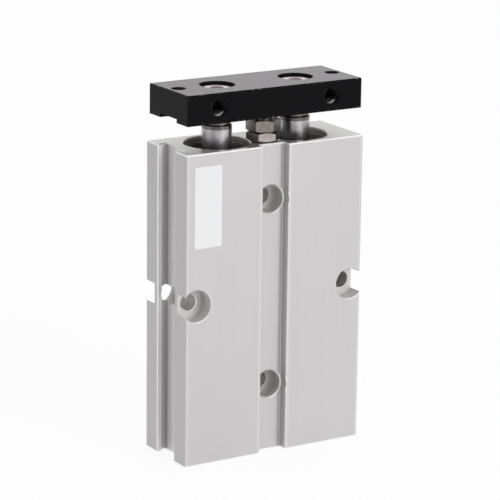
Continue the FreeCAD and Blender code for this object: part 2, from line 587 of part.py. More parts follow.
# ------------------------------------------------------------- end plate and stop bolt
def make_end_plate():
    """Plate across both rods, grooved below, with counterbored and tapped holes."""
    body = new_body("end_plate")
    face, groove, side = "plate_depth / 2", "plate_groove_width / 2", "plate_width / 2"
    section = outline(body, "YZ", [
        (f"-{face}", "plate_foot"), (f"-{groove}", "plate_foot"), (f"-{groove}", "rod_head"),
        (groove, "rod_head"), (groove, "plate_foot"), (face, "plate_foot"),
        (face, "plate_head"), (f"-{face}", "plate_head")])
    block = extrude(body, "Pad", section, "plate_width", Midplane=True)
    corners = [(x + side, y + face) for x in ("", "-") for y in ("", "-")]
    block = dress(body, "Fillet", block, upright_edges(block.Shape, corners), "plate_round")
    dress(body, "Chamfer", block, faces_at(block.Shape, "plate_head"), "plate_bevel")

    def wall(place, offset, height):
        return f"{place} + {offset}", height

    over, under = f"plate_head + {OVERSHOOT}", f"plate_foot - {OVERSHOOT}"
    mirrored(body, turned_cut(body, "XZ", [("bore_place", "plate_foot"), ("bore_place", "plate_head")], [
        ("bore_place", under), wall("bore_place", "plate_clear / 2", under),
        wall("bore_place", "plate_clear / 2", "screw_seat"), wall("bore_place", "plate_bore / 2", "screw_seat"),
        wall("bore_place", "plate_bore / 2", over), ("bore_place", over)]), "YZ")
    tapped = "top_pitch / 2"
    mirrored(body, turned_cut(body, "XZ", [(tapped, "plate_foot"), (tapped, "plate_head")], [
        (tapped, under), wall(tapped, "top_drill / 2", under),
        wall(tapped, "top_drill / 2", "plate_head - drill_bevel"),
        wall(tapped, "top_drill / 2 + drill_bevel", "plate_head"),
        wall(tapped, "top_drill / 2 + drill_bevel", over), (tapped, over)]), "YZ")

    middle = "(plate_foot + plate_head) / 2"
    start = f"-({face} + {OVERSHOOT})"
    mirrored(body, turned_cut(body, "YZ", [("0", middle), (face, middle)], [
        (start, middle), (start, f"{middle} + face_drill / 2 + drill_bevel"),
        (f"-{face}", f"{middle} + face_drill / 2 + drill_bevel"),
        (f"-{face} + drill_bevel", f"{middle} + face_drill / 2"),
        (f"-{face} + face_depth", f"{middle} + face_drill / 2"),
        (f"-{face} + face_depth + face_drill / 2 * {DRILL_TIP}", middle)], "face_pitch / 2"), "YZ")
    turned_cut(body, "XZ", [("0", "plate_foot"), ("0", "plate_head")], [
        ("0", under), ("thread_width / 2", under), ("thread_width / 2", "bolt_tip + tap_room / 2"),
        ("0", f"bolt_tip + tap_room / 2 + thread_width / 2 * {DRILL_TIP}")], "bolt_place")
    return body


def make_stop_bolt():
    """Hexagon bolt that sets the retracted stop, with its thin lock nut."""
    head_turn, nut_turn = 13.5, 4.0
    body = new_body("stop_bolt", "0", head_turn, "bolt_place")
    extrude(body, "Pad", hexagon(body, "hex_width", "barrel_head"), "bolt_head_length")
    bevel_hexagon(body, "head_land", "barrel_head", "bolt_head")
    shank = circles(body, "XY", [("0", "0")], "core_radius", "bolt_head")
    extrude(body, "Pad", shank, "bolt_tip - bolt_head")
    nut("stop_bolt_nut", "0", "bolt_head", "lock_length", nut_turn, "bolt_place")


make_barrel()
for hand, across in (("left", "-bore_place"), ("right", "bore_place")):
    make_rear_end(hand, across)
    make_front_end(hand, across)
    make_rod(hand, across)
make_end_plate()
make_stop_bolt()
document.recompute()

# ---------------------------------------------------------------------- test and export
for item in document.Objects:
    if "Invalid" in item.State or "Error" in item.State:
        raise RuntimeError(f"{item.Name} failed: {item.State}")
pieces = [item for item in document.Objects if item.TypeId in ("PartDesign::Body", "Part::Torus")]
os.makedirs("parts", exist_ok=True)
for piece in pieces:
    shape = piece.Shape
    if shape.isNull() or not shape.isValid() or len(shape.Solids) != 1:
        raise RuntimeError(f"{piece.Label} is not one valid solid")
    shape.exportStep(f"parts/{piece.Label}.step")
    print(f"{piece.Label:24s} {shape.Volume:10.2f} mm3")
print(len(pieces), "pieces")
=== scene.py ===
# %% [markdown]
# # A guided cylinder with two rods
# The real object is a small air cylinder: an extruded aluminium barrel with two bores side by side, two
# steel rods, and a black end plate that the rods carry. Every solid comes from the CAD frame and keeps
# its place. This lesson gives those solids their finishes, and adds what is finer than the solids: screw
# threads, knurls and a blank sticker. One unit is a metre, so MM turns millimetres into scene units.

# %% Load the frame
import bmesh
import bpy
import json
import math
from mathutils import Matrix, Vector


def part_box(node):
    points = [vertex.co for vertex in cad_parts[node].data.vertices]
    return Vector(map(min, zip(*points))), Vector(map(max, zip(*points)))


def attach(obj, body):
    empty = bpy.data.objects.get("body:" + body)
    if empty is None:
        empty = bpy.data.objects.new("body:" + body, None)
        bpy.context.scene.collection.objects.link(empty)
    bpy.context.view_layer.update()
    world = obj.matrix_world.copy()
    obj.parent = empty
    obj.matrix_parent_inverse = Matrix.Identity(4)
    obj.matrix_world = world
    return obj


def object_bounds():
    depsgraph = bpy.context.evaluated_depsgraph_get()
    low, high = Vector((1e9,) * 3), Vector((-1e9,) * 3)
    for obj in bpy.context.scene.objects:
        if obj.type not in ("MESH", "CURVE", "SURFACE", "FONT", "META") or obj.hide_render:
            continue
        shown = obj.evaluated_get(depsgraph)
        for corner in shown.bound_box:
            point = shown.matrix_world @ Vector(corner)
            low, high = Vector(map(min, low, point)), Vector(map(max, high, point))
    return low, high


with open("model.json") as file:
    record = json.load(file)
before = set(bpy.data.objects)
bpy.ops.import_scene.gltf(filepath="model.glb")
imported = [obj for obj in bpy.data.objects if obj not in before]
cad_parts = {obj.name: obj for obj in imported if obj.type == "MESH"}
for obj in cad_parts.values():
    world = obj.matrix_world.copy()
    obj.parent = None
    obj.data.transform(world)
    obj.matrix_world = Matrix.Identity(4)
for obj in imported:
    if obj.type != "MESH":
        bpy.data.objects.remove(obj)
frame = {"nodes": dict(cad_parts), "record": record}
cad_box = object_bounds()
mounts = {mount["name"]: mount for mount in frame["record"]["mounts"]}
MM = 0.001
print("CAD box, mm:", [round((high - low) / MM, 2) for low, high in zip(*cad_box)])

# %% [markdown]
# ## The camera
# A product is usually shown from a little to one side and a little above, with a long lens, so that upright
# edges stay nearly parallel. A new camera looks straight down: this one is rolled by less than a degree,
# tilted up and swung round the upright axis. The Standard view shows colours as written.

# %% Camera
SWING, LOOK_DOWN, ROLL = math.radians(31.59), math.radians(14.742), math.radians(0.711)
STAND = (-0.355586, -0.576034, 0.231509)
LENS, SENSOR = 189.53, 36.0
NEAREST, FARTHEST = 0.01, 20.0

camera = bpy.data.objects.new("camera", bpy.data.cameras.new("camera"))
bpy.context.scene.collection.objects.link(camera)
bpy.context.scene.camera = camera
camera.data.lens, camera.data.sensor_width = LENS, SENSOR
turn = (Matrix.Rotation(-SWING, 4, "Z") @ Matrix.Rotation(math.pi / 2 - LOOK_DOWN, 4, "X")
        @ Matrix.Rotation(ROLL, 4, "Z"))
camera.matrix_world = Matrix.Translation(STAND) @ turn
camera.data.clip_start, camera.data.clip_end = NEAREST, FARTHEST
bpy.context.scene.view_settings.view_transform = "Standard"
print("camera", round(camera.location.length, 3), "m from the origin")

# %% [markdown]
# ## The world
# The surroundings are white where they are seen, by the camera or in a mirror, and softer where they only
# give light. That keeps the background white without washing out the metal. The table top
# needs the same test for what is seen, so it is a helper.

# %% World
AMBIENT = 0.42
WHITE = (1.0, 1.0, 1.0, 1.0)


def seen_directly(nodes, links):
    """1 for what the camera sees, straight or in a mirror or glass, and 0 for what only gives light."""
    path = nodes.new("ShaderNodeLightPath")
    total = path.outputs["Is Camera Ray"]
    for kind in ("Is Glossy Ray", "Is Transmission Ray"):
        add = nodes.new("ShaderNodeMath")
        add.operation, add.use_clamp = "ADD", True
        links.new(total, add.inputs[0])
        links.new(path.outputs[kind], add.inputs[1])
        total = add.outputs[0]
    return total


world = bpy.data.worlds.new("studio")
bpy.context.scene.world = world
world.use_nodes = True
room = world.node_tree
level = room.nodes.new("ShaderNodeMapRange")
level.inputs["To Min"].default_value = AMBIENT
room.links.new(seen_directly(room.nodes, room.links), level.inputs["Value"])
room.links.new(level.outputs["Result"], room.nodes["Background"].inputs["Strength"])
room.nodes["Background"].inputs["Color"].default_value = WHITE
print("world light", AMBIENT)

# %% [markdown]
# ## The table top
# The cylinder stands on a white table, a flat square many times wider than the view. It is partly a plain
# matt surface, which takes the shadow, and partly its own even white, which only the camera and mirrors
# see, so it puts no more light on the metal.

# %% Table top
HALF_FLOOR, FLOOR_LEVEL = 4.0, -0.02 * MM
TABLE_WHITE = (0.9, 0.9, 0.9, 1.0)
OWN_SHARE, OWN_BRIGHTNESS = 0.80, 1.07

floor_mesh = bpy.data.meshes.new("floor")
corners = [(x * HALF_FLOOR, y * HALF_FLOOR, FLOOR_LEVEL) for x, y in ((-1, -1), (1, -1), (1, 1), (-1, 1))]
floor_mesh.from_pydata(corners, [], [(0, 1, 2, 3)])
floor = bpy.data.objects.new("floor", floor_mesh)
bpy.context.scene.collection.objects.link(floor)

table_top = bpy.data.materials.new("table_top")
table_top.use_nodes = True
nodes, links = table_top.node_tree.nodes, table_top.node_tree.links
nodes.remove(nodes["Principled BSDF"])
matt = nodes.new("ShaderNodeBsdfDiffuse")
own_white = nodes.new("ShaderNodeEmission")
blend = nodes.new("ShaderNodeMixShader")
matt.inputs["Color"].default_value = TABLE_WHITE
own_white.inputs["Strength"].default_value = OWN_BRIGHTNESS
share = nodes.new("ShaderNodeMath")
share.operation = "MULTIPLY"
share.inputs[1].default_value = OWN_SHARE
links.new(seen_directly(nodes, links), share.inputs[0])
links.new(share.outputs[0], blend.inputs[0])
links.new(matt.outputs[0], blend.inputs[1])
links.new(own_white.outputs[0], blend.inputs[2])
links.new(blend.outputs[0], nodes["Material Output"].inputs["Surface"])
floor_mesh.materials.append(table_top)
print("floor", 2 * HALF_FLOOR, "m wide")

# %% [markdown]
# ## Lamps
# Four large soft lamps. The key stands in front and a little to the right, so the broad front is the
# brightest face. A very weak one fills the left side, one hangs above, and one stands behind on the right,
# where flat tops mirror it towards the viewer. Each is an area light aimed at the middle of the cylinder.
# Watts follow from its distance: light falls off with the square of it.

# %% Lamps
MIDDLE = (cad_box[0] + cad_box[1]) / 2


def lamp(name, direction, distance, width, share_of_white):
    """An area lamp that adds share_of_white to a white matt surface turned towards it."""
    light = bpy.data.lights.new(name, "AREA")
    light.shape, light.size = "SQUARE", width
    light.energy = share_of_white * math.pi ** 2 * distance ** 2
    stand = bpy.data.objects.new(name, light)
    bpy.context.scene.collection.objects.link(stand)
    aim = Vector(direction).normalized()
    stand.location = MIDDLE + aim * distance
    stand.rotation_euler = aim.to_track_quat("Z", "Y").to_euler()
    stand.visible_camera = False
    return light.energy


for name, direction, distance, width, share_of_white in (
        ("key", (0.27, -1.0, 0.38), 1.8, 1.25, 0.41),
        ("fill", (-1.0, -0.2, 0.1), 1.5, 0.8, 0.026),
        ("top", (0.0, 0.1, 1.0), 1.2, 0.7, 0.20),
        ("back", (0.51, 0.82, 0.34), 1.4, 0.8, 0.095)):
    print(name, round(lamp(name, direction, distance, width, share_of_white), 2), "W")

# %% [markdown]
# ## Cards for the mirrors
# A round steel rod mirrors the whole room in a few millimetres, so a studio stands cards of several greys
# round it. Each card here is a tall sheet that only mirrors can see: it casts no shadow and lights
# nothing else.

# %% Cards
CARD_DISTANCE, CARD_FOOT, CARD_HEAD = 1.25, 0.01, 1.0


def card(name, azimuth, half_angle, brightness):
    """A sheet seen in mirrors only; azimuth runs from straight in front (0 degrees) to the right (90)."""
    angle, half = math.radians(azimuth), CARD_DISTANCE * math.tan(math.radians(half_angle))
    centre = Vector((math.sin(angle), -math.cos(angle), 0.0)) * CARD_DISTANCE
    side = Vector((math.cos(angle), math.sin(angle), 0.0)) * half
    foot, head = Vector((0.0, 0.0, CARD_FOOT)), Vector((0.0, 0.0, CARD_HEAD))
    points = [centre - side + foot, centre + side + foot, centre + side + head, centre - side + head]
    mesh = bpy.data.meshes.new(name)
    mesh.from_pydata([tuple(point) for point in points], [], [(0, 1, 2, 3)])
    sheet = bpy.data.objects.new(name, mesh)
    bpy.context.scene.collection.objects.link(sheet)
    for kind in ("camera", "diffuse", "shadow", "transmission"):
        setattr(sheet, "visible_" + kind, False)
    paint = bpy.data.materials.new(name)
    paint.use_nodes = True
    nodes, links = paint.node_tree.nodes, paint.node_tree.links
    nodes.remove(nodes["Principled BSDF"])
    even = nodes.new("ShaderNodeEmission")
    even.inputs["Strength"].default_value = brightness
    links.new(even.outputs[0], nodes["Material Output"].inputs["Surface"])
    mesh.materials.append(paint)


for name, azimuth, half_angle, brightness in (
        ("card_front", -34, 30, 0.32), ("card_right", 75, 36, 0.12), ("card_left", -143, 24, 0.42)):
    card(name, azimuth, half_angle, brightness)
    print(name, azimuth, "degrees")

# %% [markdown]
# ## A finish and its nodes
# A finish is one Principled shader plus the nodes that vary it. Every pattern is read from Object
# coordinates, which are metres on this object, so a grain of 0.1 mm is a noise of scale 10000 on every
# piece. What is the same all over a surface is set on the shader's own socket; only what varies is
# linked.

# %% The Finish helper
class Finish:
    """One material: its Principled shader, and short calls for the nodes that feed it."""

    def __init__(self, name, metallic, specular=0.5, **sockets):
        self.material = bpy.data.materials.new(name)
        self.material.use_nodes = True
        self.tree = self.material.node_tree
        self.shader = self.tree.nodes["Principled BSDF"]
        self.set("Metallic", metallic)
        self.set("Specular IOR Level", specular)
        for socket, amount in sockets.items():
            self.set(socket.replace("_", " "), amount)
        self.place = self.tree.nodes.new("ShaderNodeTexCoord").outputs["Object"]

    def set(self, socket, amount):
        self.shader.inputs[socket].default_value = amount

    def node(self, kind, *feeds, **settings):
        """A node of that kind, with feeds joined or written to its inputs in order."""
        made = self.tree.nodes.new("ShaderNode" + kind)
        for name, setting in settings.items():
            setattr(made, name, setting)
        for socket, feed in zip(made.inputs, feeds):
            self.feed(socket, feed)
        return made

    def feed(self, socket, source):
        if isinstance(source, bpy.types.NodeSocket):
            self.tree.links.new(source, socket)
        elif source is not None:
            socket.default_value = source

    def math(self, operation, first, second=None, third=None):
        return self.node("Math", first, second, third, operation=operation).outputs[0]

    def stretched(self, stretch, centre=(0.0, 0.0, 0.0)):
        """Object coordinates moved to a centre and scaled, so that a pattern can run along one axis."""
        moved = self.node("VectorMath", self.place, centre, operation="SUBTRACT").outputs[0]
        return self.node("VectorMath", moved, stretch, operation="MULTIPLY").outputs[0]

    def noise(self, stretch, detail=2.0, rough=0.55):
        """Cloudy noise from 0 to 1; stretch is how many clouds fit in a metre along X, Y and Z."""
        made = self.node("TexNoise")
        self.feed(made.inputs["Vector"], self.stretched(stretch))
        for socket, amount in (("Scale", 1.0), ("Detail", detail), ("Roughness", rough)):
            made.inputs[socket].default_value = amount
        return made.outputs["Fac"]

    def spread(self, factor, low, high, start=0.0, end=1.0):
        """Maps factor from start..end to low..high and stops at the ends."""
        return self.node("MapRange", factor, start, end, low, high).outputs[0]

    def colours(self, factor, *stops):
        """A ramp through (position, colour) stops."""
        ramp = self.node("ValToRGB", factor)
        band = ramp.color_ramp.elements
        while len(band) < len(stops):
            band.new(0.5)
        for stop, (position, colour) in zip(band, stops):
            stop.position, stop.color = position, (*colour, 1.0)
        return ramp.outputs[0]

    def paint(self, colour, roughness, height=None, depth=0.0):
        """Joins colour, roughness and a bump whose height socket spans depth metres."""
        self.feed(self.shader.inputs["Base Color"], colour)
        self.feed(self.shader.inputs["Roughness"], roughness)
        if height is not None:
            bump = self.node("Bump")
            bump.inputs["Distance"].default_value = depth
            self.feed(bump.inputs["Height"], height)
            self.feed(self.shader.inputs["Normal"], bump.outputs[0])
        return self.material


print("finish helper ready")

# %% [markdown]
# ## Masks
# A real surface differs from place to place: an edge is rubbed, a hole is oily. A mask is a number that
# is 1 in such a place and 0 elsewhere, made from where a point lies or which way the surface faces. The
# product of masks is what lies in all of them, and the largest is what lies in any. A colour is laid over
# another through a mask, like paint through a stencil.

# %% The Patchwork helper
class Patchwork(Finish):
    """A finish that differs from place to place, with calls that make and join masks."""

    def axes(self):
        """X, Y and Z of the point, in metres."""
        return self.node("SeparateXYZ", self.place).outputs

    def facing(self):
        """X, Y and Z of the direction that the surface faces."""
        return self.node("SeparateXYZ", self.node("NewGeometry").outputs["Normal"]).outputs

    def size(self, source):
        return self.math("ABSOLUTE", source)

    def fade_in(self, source, start, end):
        """0 below start, 1 past end."""
        return self.spread(source, 0.0, 1.0, start, end)

    def fade_out(self, source, start, end):
        """1 below start, 0 past end."""
        return self.spread(source, 1.0, 0.0, start, end)

    def beyond(self, source, limit, blur=0.02 * MM):
        """1 where source is past limit, 0 before it, with a short blur."""
        return self.fade_in(source, limit - blur, limit + blur)

    def less(self, mask):
        """1 where mask is 0, and 0 where it is 1."""
        return self.math("SUBTRACT", 1.0, mask)

    def chain(self, operation, *sources):
        """Joins the sources one after the other with an operation of two inputs."""
        total = sources[0]
        for source in sources[1:]:
            total = self.math(operation, total, source)
        return total

    def both(self, *masks):
        return self.chain("MULTIPLY", *masks)

    def either(self, *masks):
        return self.chain("MAXIMUM", *masks)

    def cover(self, under, mask, over):
        """The colour over, laid on the colour under where mask is 1."""
        layers = [(*layer, 1.0) if isinstance(layer, tuple) else layer for layer in (under, over)]
        return self.node("MixRGB", mask, *layers).outputs[0]


print("mask helper ready")

# %% [markdown]
# ## Lathe rings for anything turned
# Bores, guides, caps and pistons are all turned round one of the two bore axes. The distance from the
# nearer axis is worked out from the mirror symmetry: take the size of X, subtract the axis's own X, and
# measure what is left together with Y. Noise read along that distance, and along Z, makes the rings that
# a cutting tool leaves.

# %% Distance from a bore axis
BORE_AXIS = (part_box("front_guide_right")[0].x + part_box("front_guide_right")[1].x) / 2


def bore_distance(finish):
    """How far a point lies from the nearer bore axis, in metres, and its height."""
    split = finish.node("SeparateXYZ", finish.place)
    across = finish.math("SUBTRACT", finish.math("ABSOLUTE", split.outputs["X"]), BORE_AXIS)
    flat = finish.node("CombineXYZ", across, split.outputs["Y"], 0.0).outputs[0]
    return finish.node("VectorMath", flat, operation="LENGTH").outputs["Value"], split.outputs["Z"]


def ring_noise(finish, radius, height, per_metre):
    """Noise in rings round an axis and along it."""
    rings = finish.node("TexNoise")
    finish.feed(rings.inputs["Vector"], finish.node("CombineXYZ", radius, height, 0.0).outputs[0])
    rings.inputs["Scale"].default_value = per_metre
    return rings.outputs["Fac"]


def turned_rings(finish, per_metre):
    """Rings round the two bore axes and up their walls."""
    return ring_noise(finish, *bore_distance(finish), per_metre)


print("bore axes at X = +-", round(BORE_AXIS / MM, 2), "mm")

# %% [markdown]
# ## Clear anodised aluminium: the barrel
# The extrusion is blasted matt and anodised without dye, which leaves a pale silver grey with a very
# fine, even grain. Faint lines from the extrusion die run along the length. It is half a metal to the
# eye: the oxide scatters light, so the shader is only partly metallic. The lines are noise stretched
# along Z, the grain is unstretched noise, and both are kept weak, because the real faces look almost
# even.

# %% Barrel: grain and die lines
DULL_SILVER, BRIGHT_SILVER = (0.582, 0.568, 0.572), (0.657, 0.642, 0.646)
GRAINS_PER_METRE = 7000

barrel = Patchwork("clear_anodised", metallic=0.5)
grain = barrel.noise((GRAINS_PER_METRE,) * 3)
die_lines = barrel.noise((2600, 2600, 14), detail=3.0)
clouds = barrel.noise((70, 70, 45))
tone = barrel.chain("ADD", barrel.spread(die_lines, -0.5, 0.5), barrel.spread(clouds, -0.35, 0.35),
                    barrel.spread(grain, -0.4, 0.4))
silver = barrel.colours(barrel.spread(tone, 0.0, 1.0, -1.0, 1.0), (0.0, DULL_SILVER), (1.0, BRIGHT_SILVER))
skin_roughness = barrel.spread(tone, 0.46, 0.58, -1.0, 1.0)
print("silver skin, grain of", round(1 / GRAINS_PER_METRE / MM, 2), "mm")

# %% [markdown]
# ## Measures of a point on the barrel
# Every mask on the barrel reads a few measures: how far a point lies from the middle across (x) and in
# depth (y), how high it is (z), and how far it is from the axis of the nearest mounting hole. Left and
# right, front and back are mirror images, so the size of X and Y is enough. The places of the holes come
# from the record's mounts, and a zone is a mask made of limits for some of these measures.

# %% Barrel: measures and zones
barrel_low, barrel_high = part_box("barrel")
where, facing = barrel.axes(), barrel.facing()
across, deep = barrel.size(where["X"]), barrel.size(where["Y"])
hole_level = mounts["channel_holes"]["pos_m"][2]
half_apart = mounts["channel_holes"]["dims"]["spacing_y_mm"] * MM / 2
side_place = mounts["side_holes"]["dims"]["spacing_x_mm"] * MM / 2
hole_axes = ((0.0, hole_level - half_apart), (0.0, hole_level + half_apart), (side_place, hole_level))
flat_place = barrel.node("CombineXYZ", across, where["Z"], 0.0).outputs[0]
distances = [barrel.node("VectorMath", flat_place, (*axis, 0.0), operation="DISTANCE").outputs["Value"]
             for axis in hole_axes]
from_hole = barrel.chain("MINIMUM", *distances)
measures = {"x": across, "y": deep, "z": where["Z"], "hole": from_hole}


def zone(**limits):
    """1 where each named measure lies between its two limits, in millimetres."""
    masks = []
    for name, (low, high) in limits.items():
        masks.append(barrel.beyond(measures[name], low * MM))
        masks.append(barrel.less(barrel.beyond(measures[name], high * MM)))
    return barrel.both(*masks)


print("holes at, mm:", [(round(x / MM, 2), round(z / MM, 2)) for x, z in hole_axes])

# %% [markdown]
# ## Milled ends and oily bores
# Both ends are milled after sawing. They are smoother than the blasted skin, so they show less of its
# white scatter. The bores are turned, hard anodised and oily, so they look brown black; their turned rings
# are painted from that brown up to a lit brown, painted light on the rings. The wall of a mounting hole can
# lie as near to a bore's axis as the bore's own mouth does, so below the mouths only what is well away
# from the middle counts as bored.

# %% Barrel: ends and bores
END_BAND, MOUTH_REACH = 0.36 * MM, 8.85 * MM
OILY_BROWN, LIT_BROWN = (0.150, 0.132, 0.122), (0.860, 0.800, 0.750)

barrel_middle = (barrel_low.z + barrel_high.z) / 2
from_middle = barrel.size(barrel.math("SUBTRACT", where["Z"], barrel_middle))
near_end = barrel.beyond(from_middle, barrel_high.z - barrel_middle - END_BAND)
milled_end = barrel.both(near_end, barrel.fade_in(barrel.size(facing["Z"]), 0.93, 0.97))
outside_mouth = barrel.beyond(bore_distance(barrel)[0], MOUTH_REACH)
bore_reach = barrel.either(zone(x=(4.3, 27.0)), zone(z=(78.0, 85.0)))
bored = barrel.both(barrel.less(outside_mouth), bore_reach, barrel.less(milled_end))
rings = turned_rings(barrel, 1700.0)
# Painted light: the turned rings run from oily brown up to a lit brown.
brown_with_lit_rings = barrel.colours(rings, (0.42, OILY_BROWN), (0.58, LIT_BROWN))
print("milled over the last", round(END_BAND / MM, 2), "mm of each end")

# %% [markdown]
# ## Mounting holes
# A drill and a counterbore leave swept rings round the hole's axis. The wide counterbore is almost as
# pale as the skin, and the drilled hole behind it is painted darker: painted shade deep in the hole. The
# rings are noise along the distance from the hole's axis and along the depth, and in the counterbore the
# skin's own soft clouds join them.

# %% Barrel: mounting holes
drilled = zone(hole=(0.0, 2.4), y=(0.0, 5.9))
sunk_in_channel = zone(hole=(0.0, 3.76), x=(0.0, 4.0), y=(3.2, 7.6))
sunk_at_side = zone(hole=(0.0, 4.35), x=(18.0, 27.0), y=(5.95, 10.28))
sunk = barrel.either(sunk_in_channel, sunk_at_side)
sweeps = ring_noise(barrel, from_hole, where["Y"], 2600.0)
swept = barrel.math("MULTIPLY_ADD", sweeps, 0.6, barrel.math("MULTIPLY", clouds, 0.4))
counterbore = barrel.colours(swept, (0.36, (0.49, 0.475, 0.470)), (0.64, (0.77, 0.748, 0.740)))
# Painted shade: the drilled hole is coloured darker than the counterbore and the skin.
drill_painted_shade = barrel.colours(sweeps, (0.36, (0.36, 0.345, 0.340)), (0.64, (0.64, 0.615, 0.608)))
print("mounting holes: swept rings")

# %% [markdown]
# ## Broken edges with painted highlights
# Edges and rims are broken by a small bevel, and the bevel's colour is painted paler: a painted highlight
# where it would catch the light. There the surface slants, so the Y part of its direction is neither near 0
# nor near 1. Round walls slant as well, so each kind of edge has a zone of its own. The edges of the ends,
# the rims of the side holes and the slot's lips get the brightest painted highlight; the edges of the
# channel and the rims of its holes come next; the four outer corners keep the plain skin.

# %% Barrel: edges
slant = barrel.size(facing["Y"])
slanted = barrel.both(barrel.fade_in(slant, 0.25, 0.35), barrel.fade_out(slant, 0.90, 0.97))
end_edges = barrel.both(near_end, barrel.less(milled_end))
side_rims = barrel.either(zone(hole=(4.2, 4.6), y=(10.2, 10.6)), zone(x=(21.0, 27.0), y=(5.7, 6.05)))
lip_foot, lip_head = barrel_low.x + 0.45 * MM, barrel_low.x + 0.50 * MM
slot_lips = barrel.both(barrel.fade_out(where["X"], lip_foot, lip_head), zone(y=(0.0, 8.0)))
brightest_highlight_bevels = barrel.both(slanted, barrel.either(side_rims, slot_lips))
# Painted highlight: white on the edges of the ends, the rims of the side holes and the slot's lips.
brightest_highlight = barrel.both(outside_mouth, barrel.either(end_edges, brightest_highlight_bevels))
channel_edges = barrel.either(zone(x=(0.0, 10.0), y=(10.0, 10.6)), zone(x=(0.0, 4.4), y=(7.55, 8.05)),
                              zone(x=(0.0, 4.4), y=(3.0, 3.35)))
# Painted highlight: a paler colour on the channel's edges and the rims of its holes.
highlighted_bevels = barrel.either(barrel.both(slanted, outside_mouth, channel_edges), brightest_highlight)
print("edges: bright bevels and soft ones")

# %% [markdown]
# ## Painted light in the slot, painted highlight bands and painted shade in creases
# Three more places are found by where they lie. The inside of the T-slot is painted paler than the skin:
# painted light that lifts its shade. The front and back get a band of painted highlight, a little paler,
# beside each long edge. And a grey line of painted shade lies in the crease where the floor of the channel
# meets its walls; it is measured from the crease itself and is narrower in depth than across.

# %% Barrel: slot light, highlight bands and crease shade
SLOT_REACH, SLOT_HALF = 3.25 * MM, 4.48 * MM
CREASE_X, CREASE_Y, CREASE_SQUASH = 3.8 * MM, 8.0 * MM, 1.8
SOFT = 0.04 * MM

# Painted light: the inside of the T-slot is coloured paler to lift its shade.
painted_light_in_slot = barrel.both(
    barrel.fade_out(where["X"], barrel_low.x + SLOT_REACH, barrel_low.x + SLOT_REACH + 0.05 * MM),
    barrel.fade_out(deep, SLOT_HALF, SLOT_HALF + SOFT))
beside_corner = barrel.fade_in(across, 25.9 * MM, 26.7 * MM)
beside_channel = barrel.fade_out(across, 4.3 * MM, 5.1 * MM)
# Painted highlight: a paler band beside each long edge of the front and back.
painted_highlight_bands = barrel.both(barrel.beyond(deep, 10.4 * MM), barrel.either(beside_corner, beside_channel))
past_x = barrel.math("SUBTRACT", across, CREASE_X)
past_y = barrel.math("MULTIPLY", barrel.math("SUBTRACT", deep, CREASE_Y), CREASE_SQUASH)
past_crease = barrel.node("CombineXYZ", past_x, past_y, 0.0).outputs[0]
from_crease = barrel.node("VectorMath", past_crease, operation="LENGTH").outputs["Value"]
# Painted shade: a grey line in the crease where the channel floor meets its walls.
painted_crease_shade = barrel.spread(from_crease, 0.9, 0.0, 0.25 * MM, 1.3 * MM)
print("creases at X = +-", round(CREASE_X / MM, 2), "and Y = +-", round(CREASE_Y / MM, 2), "mm")

# %% [markdown]
# ## The barrel in layers
# The silver skin comes first, then every place is laid over it, painted light and shade among them. A
# later layer hides an earlier one, so the painted edge highlights come last. Milled ends and broken edges
# are smoother than the skin, so their roughness is lower, and the grain is weaker on the ends.

# %% Barrel: layers
SMOOTHER = -0.14
layers = {
    "slot": (painted_light_in_slot, (0.885, 0.872, 0.872)), "rubbed bands": (painted_highlight_bands, (0.71, 0.70, 0.70)),
    "creases": (painted_crease_shade, (0.38, 0.37, 0.37)), "counterbores": (sunk, counterbore),
    "drilled holes": (drilled, drill_painted_shade), "bores": (bored, brown_with_lit_rings),
    "milled ends": (milled_end, (0.385, 0.378, 0.372)), "broken edges": (highlighted_bevels, (0.83, 0.82, 0.82)),
    "bright edges": (brightest_highlight, (1.0, 1.0, 1.0))}
colour = silver
for mask, paint in layers.values():
    colour = barrel.cover(colour, mask, paint)
roughness = barrel.math("MULTIPLY_ADD", highlighted_bevels, SMOOTHER, skin_roughness)
roughness = barrel.math("MULTIPLY_ADD", milled_end, SMOOTHER, roughness)
relief = barrel.math("MULTIPLY_ADD", die_lines, 0.5, grain)
relief = barrel.math("MULTIPLY", relief, barrel.spread(milled_end, 1.0, 0.25))
relief = barrel.math("MULTIPLY_ADD", barrel.both(bored, rings), 2.0, relief)
finishes = {"clear_anodised": barrel.paint(colour, roughness, relief, 0.02 * MM)}
print("clear_anodised:", ", ".join(layers))

# %% [markdown]
# ## Black anodised aluminium: the end plate
# The plate is milled, then anodised black. Seen square on it is almost black, and at a low angle its
# satin skin scatters the light of the room, as velvet does. Sheen gives that. What faces up is painted a
# little paler, painted light from above with a trace of dust. The arrises lose some dye, so a mask of the
# box's edges, broken by noise, brings specks of metal.

# %% Black anodised
ARRIS = 0.55 * MM
DUST_AND_TOP_LIGHT, BARE_METAL = (0.092, 0.084, 0.091), (0.34, 0.335, 0.34)

plate = Patchwork("black_anodised", metallic=0.0, specular=0.05, Sheen_Weight=0.52, Sheen_Roughness=0.25,
                  Sheen_Tint=(1.0, 0.965, 0.99, 1.0))
plate_low, plate_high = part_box("end_plate")
plate_middle, plate_half = (plate_low + plate_high) / 2, (plate_high - plate_low) / 2
from_centre = plate.node("SeparateXYZ", plate.stretched((1.0, 1.0, 1.0), tuple(plate_middle))).outputs
near = [plate.fade_out(plate.math("SUBTRACT", half, plate.size(from_centre[axis])), 0.0, ARRIS)
        for axis, half in zip("XYZ", plate_half)]
edge = plate.either(*(plate.both(near[a], near[b]) for a, b in ((0, 1), (1, 2), (0, 2))))
worn = plate.both(edge, plate.fade_in(plate.noise((900, 900, 900), detail=4.0), 0.60, 0.67))
